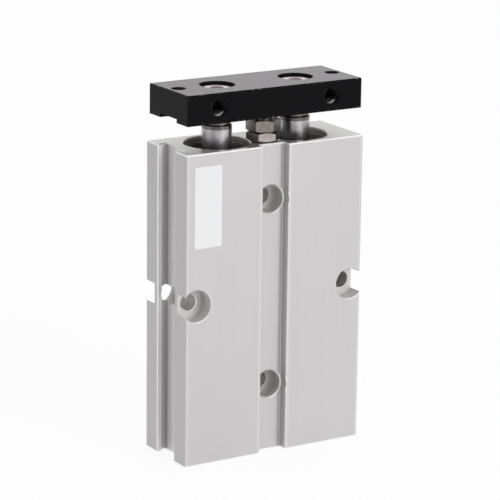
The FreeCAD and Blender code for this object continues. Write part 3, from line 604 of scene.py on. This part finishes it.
# Painted light from above, with a trace of dust: faces that look up are coloured paler.
dust_and_top_light = plate.fade_in(plate.facing()["Z"], 0.90, 0.98)
milling = plate.noise((160, 9000, 5000))
grain = plate.noise((5200, 5200, 5200))
black = plate.colours(grain, (0.3, (0.0032, 0.0032, 0.0040)), (0.7, (0.0058, 0.0058, 0.0068)))
colour = plate.cover(plate.cover(black, dust_and_top_light, DUST_AND_TOP_LIGHT), worn, BARE_METAL)
roughness = plate.math("MULTIPLY_ADD", milling, 0.10, plate.spread(grain, 0.26, 0.34))
relief = plate.math("MULTIPLY_ADD", milling, 0.6, grain)
finishes["black_anodised"] = plate.paint(colour, roughness, relief, 0.012 * MM)
print("black_anodised")

# %% [markdown]
# ## Bare threads in the plate's front, with painted light and shade
# The two holes in the front are tapped after dyeing, so their threads are bare metal. Light from in front
# and above reaches only the lower side of the first turns, and all else in the hole looks black. A small
# finish of its own paints that light and shade: bare scratched metal, painted light, low down near the
# mouth, and painted shade, almost black, above and behind.

# %% Tapped holes
PAINTED_HOLE_SHADE = (0.022, 0.022, 0.025)

tap = Patchwork("tapped_alloy", metallic=0.9)
tap_level = mounts["plate_front_holes"]["pos_m"][2]
in_tap = tap.axes()
# Painted light and shade: pale bare metal low down near the mouth, almost black above and deeper in.
lit_low_side = tap.fade_out(in_tap["Z"], tap_level - 1.7 * MM, tap_level - 1.0 * MM)
lit_near_mouth = tap.spread(in_tap["Y"], 1.0, 0.15, plate_low.y + 1.3 * MM, plate_low.y + 2.2 * MM)
scratches = tap.noise((2600, 2600, 2600), detail=3.0)
bare = tap.colours(scratches, (0.35, (0.30, 0.30, 0.305)), (0.62, (0.82, 0.815, 0.82)))
tap_light_and_shade = tap.cover(PAINTED_HOLE_SHADE, tap.both(lit_low_side, lit_near_mouth), bare)
tap_painted_material = tap.paint(tap_light_and_shade, tap.spread(scratches, 0.22, 0.40))
print("tapped_alloy")

# %% [markdown]
# ## Ground steel: the rods
# A rod is ground round and hard, then it runs through a rubber wiper, which leaves it dark, oily and
# finely streaked along its length. The ground lines run round the rod, so their noise is long round Z and
# short along it; the streaks are long in Z, and soft stains change colour and gloss. Under the plate the
# rod has a turned neck, which is coloured darker and browner.

# %% Rod steel
NECK_LENGTH = 3.4 * MM

rod = Patchwork("rod_steel", metallic=1.0)
streaks = rod.noise((420, 420, 50))
stains = rod.noise((420, 420, 300), detail=4.0, rough=0.65)
ground_lines = rod.noise((60, 60, 16000))
tone = rod.math("MULTIPLY_ADD", streaks, 0.5, rod.math("MULTIPLY", stains, 0.5))
steel = rod.colours(tone, (0.36, (0.275, 0.262, 0.276)), (0.50, (0.470, 0.450, 0.470)),
                    (0.64, (0.650, 0.630, 0.655)))
# Under the plate the neck is coloured darker and browner.
darker_neck = rod.colours(tone, (0.36, (0.085, 0.074, 0.069)), (0.64, (0.230, 0.205, 0.193)))
neck_foot = plate_low.z - NECK_LENGTH
on_neck = rod.fade_in(rod.axes()["Z"], neck_foot, neck_foot + 0.1 * MM)
colour = rod.cover(steel, on_neck, darker_neck)
relief = rod.math("MULTIPLY_ADD", streaks, 0.4, ground_lines)
finishes["rod_steel"] = rod.paint(colour, rod.spread(stains, 0.15, 0.34), relief, 0.008 * MM)
print("rod_steel")

# %% [markdown]
# ## Plated steel: stop bolt and lock nut
# Hexagon parts are cold forged, tumbled and nickel plated: a warm grey with soft dents from tumbling and
# tiny pale scuffs. Rolled flats show short marks in every direction, so the noise is not stretched. The
# thin lock nut stands above the bolt's head and is duller, so a mask starts at its foot.

# %% Plated steel
bolt = Patchwork("plated_steel", metallic=1.0)
dents = bolt.noise((1700, 1700, 1700), detail=4.0, rough=0.6)
scuffs = bolt.noise((5200, 5200, 5200), detail=3.0)
nickel = bolt.colours(dents, (0.34, (0.300, 0.268, 0.252)), (0.66, (0.500, 0.455, 0.432)))
dull = bolt.colours(dents, (0.34, (0.200, 0.178, 0.168)), (0.66, (0.345, 0.312, 0.297)))
nut_low, nut_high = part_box("stop_bolt_nut")
on_nut = bolt.beyond(bolt.axes()["Z"], nut_low.z)
colour = bolt.cover(nickel, on_nut, dull)
relief = bolt.math("MULTIPLY_ADD", scuffs, 0.35, dents)
finishes["plated_steel"] = bolt.paint(colour, bolt.spread(scuffs, 0.20, 0.40), relief, 0.03 * MM)
print("plated_steel")

# %% [markdown]
# ## Bright steel: the plate screws
# Socket head screws, zinc plated and washed in a pale rinse that leaves a faint pink silver. Turning
# marks run round each screw's own axis, which is the rod's and so the bore's, and the lathe rings serve
# here too. The hexagon socket lies in shade and keeps its oil, so it is darker and redder.

# %% Screw steel
SOCKET_RED_BROWN = (0.36, 0.26, 0.235)

screw = Patchwork("screw_steel", metallic=1.0)
screw_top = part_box("plate_screw_left")[1].z
turning = turned_rings(screw, 9000.0)
patches = screw.noise((900, 900, 900), detail=3.0)
pink_silver = screw.colours(patches, (0.3, (0.76, 0.69, 0.68)), (0.7, (0.96, 0.90, 0.89)))
from_axis, height = bore_distance(screw)
in_socket = screw.both(screw.fade_out(from_axis, 2.32 * MM, 2.40 * MM),
                       screw.fade_out(height, screw_top - 0.75 * MM, screw_top - 0.50 * MM))
colour = screw.cover(pink_silver, in_socket, SOCKET_RED_BROWN)
relief = screw.math("MULTIPLY_ADD", patches, 0.4, turning)
finishes["screw_steel"] = screw.paint(colour, screw.spread(patches, 0.30, 0.46), relief, 0.02 * MM)
print("screw_steel")

# %% [markdown]
# ## Turned alloy: front guides, rear caps and pistons
# The guides that close the front of the bores are turned from bar and dyed dark, with a film of grease,
# so the mouths of the bores look brown black. Pistons and caps are the same metal left plain, and the
# bushes are bronze. All show turning rings about the bore axes, so one maker serves them, with two
# colours, how metallic each is, and its gloss.

# %% Turned alloys
def grey(level, warmth=0.0):
    """A grey of that level; warmth above 0 leans to red, below 0 to blue."""
    return (level * (1 + warmth), level, level * (1 - warmth))


def turned_metal(name, dark, light, metallic, roughness, depth):
    """A lathe-turned metal between two colours, with ring marks of that depth."""
    finish = Finish(name, metallic)
    rings = turned_rings(finish, 7000.0)
    smears = finish.noise((650, 650, 500), detail=4.0, rough=0.6)
    tone = finish.math("MULTIPLY_ADD", rings, 0.4, finish.math("MULTIPLY", smears, 0.6))
    colour = finish.colours(tone, (0.35, dark), (0.65, light))
    return finish.paint(colour, finish.spread(smears, *roughness), rings, depth)


for name, dark, light, metallic, roughness, depth in (
        ("dark_alloy", (0.030, 0.024, 0.020), (0.085, 0.070, 0.060), 0.6, (0.26, 0.48), 0.03 * MM),
        ("plain_alloy", grey(0.50, 0.01), grey(0.66, 0.01), 1.0, (0.24, 0.40), 0.02 * MM),
        ("bronze", (0.30, 0.17, 0.075), (0.50, 0.31, 0.15), 1.0, (0.30, 0.46), 0.03 * MM)):
    finishes[name] = turned_metal(name, dark, light, metallic, roughness, depth)
    print(name)

# %% [markdown]
# ## Spring steel: the circlips
# Circlips are stamped from strip, phosphated grey and oiled, with a trace of rust brown where the oil has
# worn through. The grain of the strip runs one way, along X.

# %% Spring steel
clip_finish = Finish("spring_steel", metallic=0.9)
strip = clip_finish.noise((600, 6000, 6000), detail=3.0)
oil = clip_finish.noise((1100, 1100, 1100), detail=3.0)
blued = clip_finish.colours(oil, (0.36, (0.210, 0.200, 0.196)), (0.58, (0.400, 0.385, 0.375)),
                            (0.74, (0.330, 0.270, 0.230)))
finishes["spring_steel"] = clip_finish.paint(blued, clip_finish.spread(oil, 0.28, 0.46), strip, 0.02 * MM)
print("spring_steel")

# %% [markdown]
# ## Rubber, plastics and the magnet
# Seals are black nitrile rubber, matt with a fine moulded skin and a film of grease in patches. Bumpers
# are a cast plastic, wear rings a filled one with dark flecks, and the magnet is sintered: dark, dull and
# granular. They differ in colour, grain and gloss, so one maker with those values makes all four.

# %% Soft and moulded finishes
def moulded(name, dark, light, grain_size, roughness, depth):
    """A moulded or sintered material: two colours in clouds, a grain of that size in millimetres."""
    finish = Finish(name, metallic=0.0, specular=0.4)
    fine = 1.0 / (grain_size * MM)
    grain = finish.noise((fine, fine, fine), detail=3.0)
    clouds = finish.noise((420, 420, 420), detail=3.0)
    tone = finish.math("MULTIPLY_ADD", grain, 0.5, finish.math("MULTIPLY", clouds, 0.5))
    colour = finish.colours(tone, (0.36, dark), (0.64, light))
    return finish.paint(colour, finish.spread(clouds, *roughness), grain, depth)


for name, dark, light, grain_size, roughness, depth in (
        ("seal_rubber", grey(0.010), grey(0.024), 0.16, (0.38, 0.62), 0.02 * MM),
        ("bumper_plastic", (0.30, 0.21, 0.06), (0.42, 0.31, 0.11), 0.30, (0.40, 0.55), 0.02 * MM),
        ("wear_plastic", (0.16, 0.10, 0.05), (0.27, 0.19, 0.11), 0.12, (0.42, 0.58), 0.01 * MM),
        ("magnet", (0.028, 0.026, 0.027), (0.065, 0.061, 0.062), 0.09, (0.55, 0.72), 0.03 * MM)):
    finishes[name] = moulded(name, dark, light, grain_size, roughness, depth)
    print(name)

# %% [markdown]
# ## Finishes onto the frame's solids
# Each solid of the frame arrives with one material slot, named after the finish that the record gives it.
# So the finish of that name goes into the slot, and nothing else about the solid changes.

# %% Assign finishes
dressed = {}
for name, solid in sorted(frame["nodes"].items()):
    finish_name = solid.material_slots[0].name.split(".")[0]
    dressed.setdefault(finish_name, []).append(name)
    for place in solid.material_slots:
        place.material = finishes[finish_name]
for finish_name, solids in sorted(dressed.items()):
    print(f"{finish_name}: {len(solids)} solids")

# %% [markdown]
# ## Node groups that grow geometry
# Threads and knurls repeat one small form, so Geometry Nodes grow them. A group has its sizes as named
# inputs. One helper makes an empty group, the other joins sockets in pairs.

# %% Helpers for node groups
def link_sockets(tree, *pairs):
    for source, target in pairs:
        tree.links.new(source, target)


def group(name, **inputs):
    """An empty geometry group with named inputs, each given as its kind of socket."""
    tree = bpy.data.node_groups.new(name, "GeometryNodeTree")
    tree.interface.new_socket("Geometry", in_out="INPUT", socket_type="NodeSocketGeometry")
    for title, kind in inputs.items():
        tree.interface.new_socket(title, in_out="INPUT", socket_type="NodeSocket" + kind)
    tree.interface.new_socket("Geometry", in_out="OUTPUT", socket_type="NodeSocketGeometry")
    return tree, tree.nodes.new("NodeGroupInput"), tree.nodes.new("NodeGroupOutput")


print("node group helpers ready")

# %% [markdown]
# ## Screw threads with Geometry Nodes
# A thread is one ridge that climbs round a cylinder, so it follows a path: a spiral. The tree draws the
# spiral, sweeps a small diamond along it, copies it to every hole or bolt that is given as a point, and
# turns it to that hole's axis. The sizes are named inputs, so an M5 bolt, an M5 hole and an M4 hole use
# the same tree. An outer thread stands on the bolt's core, and an inner one stands on the wall of the
# tapped hole.

# %% The thread tree
def thread_tree():
    """Geometry group: a helical ridge at every point, along the point's own axis."""
    tree, given, result = group(
        "thread", Radius="Float", Pitch="Float", Turns="Float", Ridge="Float", Finish="Material")
    add = tree.nodes.new
    length = add("ShaderNodeMath")
    length.operation = "MULTIPLY"
    spiral = add("GeometryNodeCurveSpiral")
    spiral.inputs["Resolution"].default_value = 40
    upright = add("GeometryNodeSetCurveNormal")
    upright.mode = "Z_UP"
    tooth = add("GeometryNodeCurvePrimitiveCircle")
    tooth.inputs["Resolution"].default_value = 4
    sweep = add("GeometryNodeCurveToMesh")
    sweep.inputs["Fill Caps"].default_value = True
    copies = add("GeometryNodeInstanceOnPoints")
    turn = add("GeometryNodeInputNamedAttribute")
    turn.data_type = "FLOAT_VECTOR"
    turn.inputs["Name"].default_value = "axis"
    align = add("FunctionNodeAlignEulerToVector")
    align.axis = "Z"
    real = add("GeometryNodeRealizeInstances")
    finish = add("GeometryNodeSetMaterial")
    link_sockets(
        tree, (given.outputs["Pitch"], length.inputs[0]), (given.outputs["Turns"], length.inputs[1]),
        (given.outputs["Turns"], spiral.inputs["Rotations"]),
        (given.outputs["Radius"], spiral.inputs["Start Radius"]),
        (given.outputs["Radius"], spiral.inputs["End Radius"]),
        (length.outputs[0], spiral.inputs["Height"]),
        (spiral.outputs[0], upright.inputs["Curve"]), (upright.outputs[0], sweep.inputs["Curve"]),
        (given.outputs["Ridge"], tooth.inputs["Radius"]), (tooth.outputs[0], sweep.inputs["Profile Curve"]),
        (given.outputs["Geometry"], copies.inputs["Points"]), (sweep.outputs[0], copies.inputs["Instance"]),
        (turn.outputs["Attribute"], align.inputs["Vector"]), (align.outputs[0], copies.inputs["Rotation"]),
        (copies.outputs[0], real.inputs[0]), (real.outputs[0], finish.inputs["Geometry"]),
        (given.outputs["Finish"], finish.inputs["Material"]), (finish.outputs[0], result.inputs[0]))
    return tree


THREAD = thread_tree()
print("thread tree with", len(THREAD.nodes), "nodes")

# %% [markdown]
# ## From a tree to a plain mesh
# The modifier's inputs are found by their identifiers, set before the first evaluation, and the evaluated
# result is copied to a plain mesh, so that the finished piece has no modifier left. Its points carry the
# axis of each hole, which the tree reads to turn each copy.

# %% Growing a piece from points
WELD = 0.002 * MM


def points_piece(name, starts):
    """An object of loose points; each start is (place, axis), in metres."""
    mesh = bpy.data.meshes.new(name)
    mesh.from_pydata([place for place, axis in starts], [], [])
    attribute = mesh.attributes.new("axis", "FLOAT_VECTOR", "POINT")
    attribute.data.foreach_set("vector", [number for place, axis in starts for number in axis])
    piece = bpy.data.objects.new(name, mesh)
    bpy.context.scene.collection.objects.link(piece)
    return piece


def grow(piece, tree, **sizes):
    """Runs tree on piece with the named sizes and keeps the result as a plain mesh."""
    modifier = piece.modifiers.new(tree.name, "NODES")
    modifier.node_group = tree
    for item in tree.interface.items_tree:
        if item.in_out == "INPUT" and item.name in sizes:
            modifier[item.identifier] = sizes[item.name]
    evaluated = piece.evaluated_get(bpy.context.evaluated_depsgraph_get())
    grown = bpy.data.meshes.new_from_object(evaluated)
    piece.modifiers.clear()
    piece.data = grown
    return piece


def tidy_normals(piece):
    """Joins doubled points and turns every face outwards."""
    work = bmesh.new()
    work.from_mesh(piece.data)
    bmesh.ops.remove_doubles(work, verts=work.verts, dist=WELD)
    bmesh.ops.recalc_face_normals(work, faces=work.faces)
    work.to_mesh(piece.data)
    work.free()
    return piece


print("points closer than", round(WELD / MM, 4), "mm are joined")

# %% [markdown]
# ## Where the threads go
# The stop bolt shows a short stretch of thread between its lock nut and the plate. The plate has four
# tapped holes and the barrel two air ports. Every place comes from the frame's boxes and the record's
# mounts, so the threads follow the solids.

# %% Thread places
M5_PITCH, M4_PITCH = 0.8 * MM, 0.7 * MM
M5_CORE, M5_WALL, M4_WALL = 2.2 * MM, 2.1 * MM, 1.65 * MM
OUTER_RIDGE, INNER_RIDGE, MOUTH = 0.3 * MM, 0.2 * MM, 0.6 * MM


def pattern_places(mount, surface):
    """The two holes of a bolt pattern, each (place just inside its mouth, direction into the metal)."""
    inward = -Vector(mount["axis"])
    half = mount["dims"]["spacing_x_mm"] * MM / 2
    start = Vector(mount["pos_m"])
    start += inward * (surface - inward.dot(start) + MOUTH)
    return [(tuple(start + Vector((side * half, 0.0, 0.0))), tuple(inward)) for side in (-1, 1)]


top_holes = pattern_places(mounts["plate_top_holes"], -plate_high.z)
front_holes = pattern_places(mounts["plate_front_holes"], plate_low.y)
ports = [((cad_box[1].x - MOUTH, 0.0, mounts[name]["pos_m"][2]), (-1.0, 0.0, 0.0))
         for name in ("rear_air_port", "front_air_port")]
nut_middle = (nut_low + nut_high) / 2
bolt_start = (nut_middle.x, nut_middle.y, nut_high.z + OUTER_RIDGE)
bolt_turns = (plate_low.z - nut_high.z - 2 * OUTER_RIDGE) / M5_PITCH
print("bolt thread turns:", round(bolt_turns, 2))

# %% [markdown]
# ## The threads
# Each thread is grown, then it rides on the body that its hole or bolt belongs to, and its normals are
# set. A thread takes the finish of its metal by that finish's name. Only the bare threads in the plate's
# front have a material of their own, so they name none.

# %% Threads
for name, body, starts, finish_name, sizes in (
        ("stop_bolt_thread", "carriage", [(bolt_start, (0.0, 0.0, 1.0))], "plated_steel",
         {"Radius": M5_CORE, "Pitch": M5_PITCH, "Turns": bolt_turns, "Ridge": OUTER_RIDGE}),
        ("plate_front_threads", "carriage", front_holes, None,
         {"Radius": M5_WALL, "Pitch": M5_PITCH, "Turns": 5.0, "Ridge": INNER_RIDGE}),
        ("plate_top_threads", "carriage", top_holes, "black_anodised",
         {"Radius": M4_WALL, "Pitch": M4_PITCH, "Turns": 9.5, "Ridge": INNER_RIDGE}),
        ("air_port_threads", "barrel", ports, "clear_anodised",
         {"Radius": M5_WALL, "Pitch": M5_PITCH, "Turns": 7.5, "Ridge": INNER_RIDGE})):
    material = finishes[finish_name] if finish_name else tap_painted_material
    piece = grow(points_piece(name, starts), THREAD, Finish=material, **sizes)
    tidy_normals(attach(piece, body))
    print(name, len(piece.data.polygons), "faces")

# %% [markdown]
# ## Knurled screw heads
# A socket head screw has a straight knurl round its head, for turning it in by hand. It is one small rib
# repeated in a circle, so a second tree sets a thin upright prism on every point of a circle.

# %% The knurl tree
def knurl_tree():
    """Geometry group: Count upright ribs round every point."""
    tree, given, result = group(
        "knurl", Radius="Float", Count="Int", Height="Float", Rib="Float", Finish="Material")
    add = tree.nodes.new
    circle = add("GeometryNodeMeshCircle")
    rib = add("GeometryNodeMeshCylinder")
    rib.inputs["Vertices"].default_value = 6
    ring = add("GeometryNodeInstanceOnPoints")
    heads = add("GeometryNodeInstanceOnPoints")
    real = add("GeometryNodeRealizeInstances")
    finish = add("GeometryNodeSetMaterial")
    link_sockets(
        tree, (given.outputs["Count"], circle.inputs["Vertices"]),
        (given.outputs["Radius"], circle.inputs["Radius"]),
        (given.outputs["Rib"], rib.inputs["Radius"]), (given.outputs["Height"], rib.inputs["Depth"]),
        (circle.outputs[0], ring.inputs["Points"]), (rib.outputs[0], ring.inputs["Instance"]),
        (given.outputs["Geometry"], heads.inputs["Points"]), (ring.outputs[0], heads.inputs["Instance"]),
        (heads.outputs[0], real.inputs[0]), (real.outputs[0], finish.inputs["Geometry"]),
        (given.outputs["Finish"], finish.inputs["Material"]), (finish.outputs[0], result.inputs[0]))
    return tree


KNURL = knurl_tree()
print("knurl tree with", len(KNURL.nodes), "nodes")

# %% [markdown]
# ## The knurls
# The ribs stand on the head's rim and leave half a millimetre free at its top and bottom. Each rib is a
# prism with six sides, sunk to its axis in the head.

# %% Knurls
HEAD_WIDTH, HEAD_LENGTH, HEAD_FREE = 8.5 * MM, 3.5 * MM, 1.0 * MM
RIBS, RIB_RADIUS = 36, 0.16 * MM

head_middle = screw_top - HEAD_LENGTH / 2
heads = [((side * BORE_AXIS, 0.0, head_middle), (0.0, 0.0, 1.0)) for side in (-1, 1)]
knurl = grow(points_piece("screw_head_knurl", heads), KNURL, Radius=HEAD_WIDTH / 2, Count=RIBS,
             Height=HEAD_LENGTH - HEAD_FREE, Rib=RIB_RADIUS, Finish=finishes["screw_steel"])
tidy_normals(knurl)
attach(knurl, "carriage")
print("knurl", len(knurl.data.polygons), "faces")

# %% [markdown]
# ## The blank sticker
# A white film sticker sits on the upper left of the front face. It carries no words. The film is a white
# plastic with a soft gloss: fine fibres vary the roughness, and slow clouds make its white a little
# uneven.

# %% Film finish
film_finish = Finish("white_film", metallic=0.0, specular=0.4)
fibres = film_finish.noise((1500, 1500, 1500), detail=3.0)
soiled = film_finish.noise((160, 160, 260), detail=3.0)
white = film_finish.colours(soiled, (0.35, (0.94, 0.945, 0.955)), (0.65, (0.965, 0.97, 0.975)))
film = film_finish.paint(white, film_finish.spread(fibres, 0.30, 0.42), fibres, 0.008 * MM)
print("white_film")

# %% [markdown]
# ## The sticker's form
# What makes a sticker real is its thickness, its rounded corners, a corner that has begun to lift, and
# the soft waves that glue leaves. It is a grid, closer towards its edges, whose corners are drawn in to
# an arc. Its points are pushed out by a few hundredths of a millimetre, and a modifier gives it a
# thickness.

# %% Sticker
STICKER_LEFT, STICKER_RIGHT, STICKER_FOOT, STICKER_HEAD = -24.55 * MM, -16.45 * MM, 59.0 * MM, 80.6 * MM
FILM_THICKNESS, CORNER, LIFT = 0.06 * MM, 0.5 * MM, 0.10 * MM
LIFT_START, LIFT_SPAN = 0.80, 0.20
WAVE, WAVES_ACROSS, WAVES_UP = 0.012 * MM, 900, 420
FACE = barrel_low.y


def sticker_mesh(columns=28, rows=72):
    """A single sheet with rounded corners that lies on the barrel's front face."""
    middle_x, middle_z = (STICKER_LEFT + STICKER_RIGHT) / 2, (STICKER_FOOT + STICKER_HEAD) / 2
    half_x, half_z = (STICKER_RIGHT - STICKER_LEFT) / 2, (STICKER_HEAD - STICKER_FOOT) / 2
    work = bmesh.new()
    grid = []
    for row in range(rows + 1):
        line = []
        for column in range(columns + 1):
            x = half_x * math.sin(math.pi / 2 * (2 * column / columns - 1))
            z = half_z * math.sin(math.pi / 2 * (2 * row / rows - 1))
            over = Vector((max(abs(x) - half_x + CORNER, 0.0), max(abs(z) - half_z + CORNER, 0.0)))
            if over.length > CORNER:
                over *= CORNER / over.length
                x = math.copysign(half_x - CORNER + over.x, x)
                z = math.copysign(half_z - CORNER + over.y, z)
            wave = WAVE * (1 + math.sin(WAVES_ACROSS * x + 2.0) * math.sin(WAVES_UP * z))
            towards_corner = (x - z) / (half_x + half_z)
            curl = LIFT * (max(0.0, towards_corner - LIFT_START) / LIFT_SPAN) ** 2
            line.append(work.verts.new((middle_x + x, FACE - wave - curl, middle_z + z)))
        grid.append(line)
    for below, above in zip(grid, grid[1:]):
        for a, b, c, d in zip(below, below[1:], above[1:], above):
            work.faces.new((a, b, c, d))
    mesh = bpy.data.meshes.new("blank_sticker")
    work.to_mesh(mesh)
    work.free()
    return mesh


sticker = bpy.data.objects.new("blank_sticker", sticker_mesh())
bpy.context.scene.collection.objects.link(sticker)
sticker.data.materials.append(film)
wall = sticker.modifiers.new("thickness", "SOLIDIFY")
wall.thickness, wall.offset = FILM_THICKNESS, 1.0
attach(sticker, "barrel")
print("sticker", len(sticker.data.polygons), "faces before its thickness")
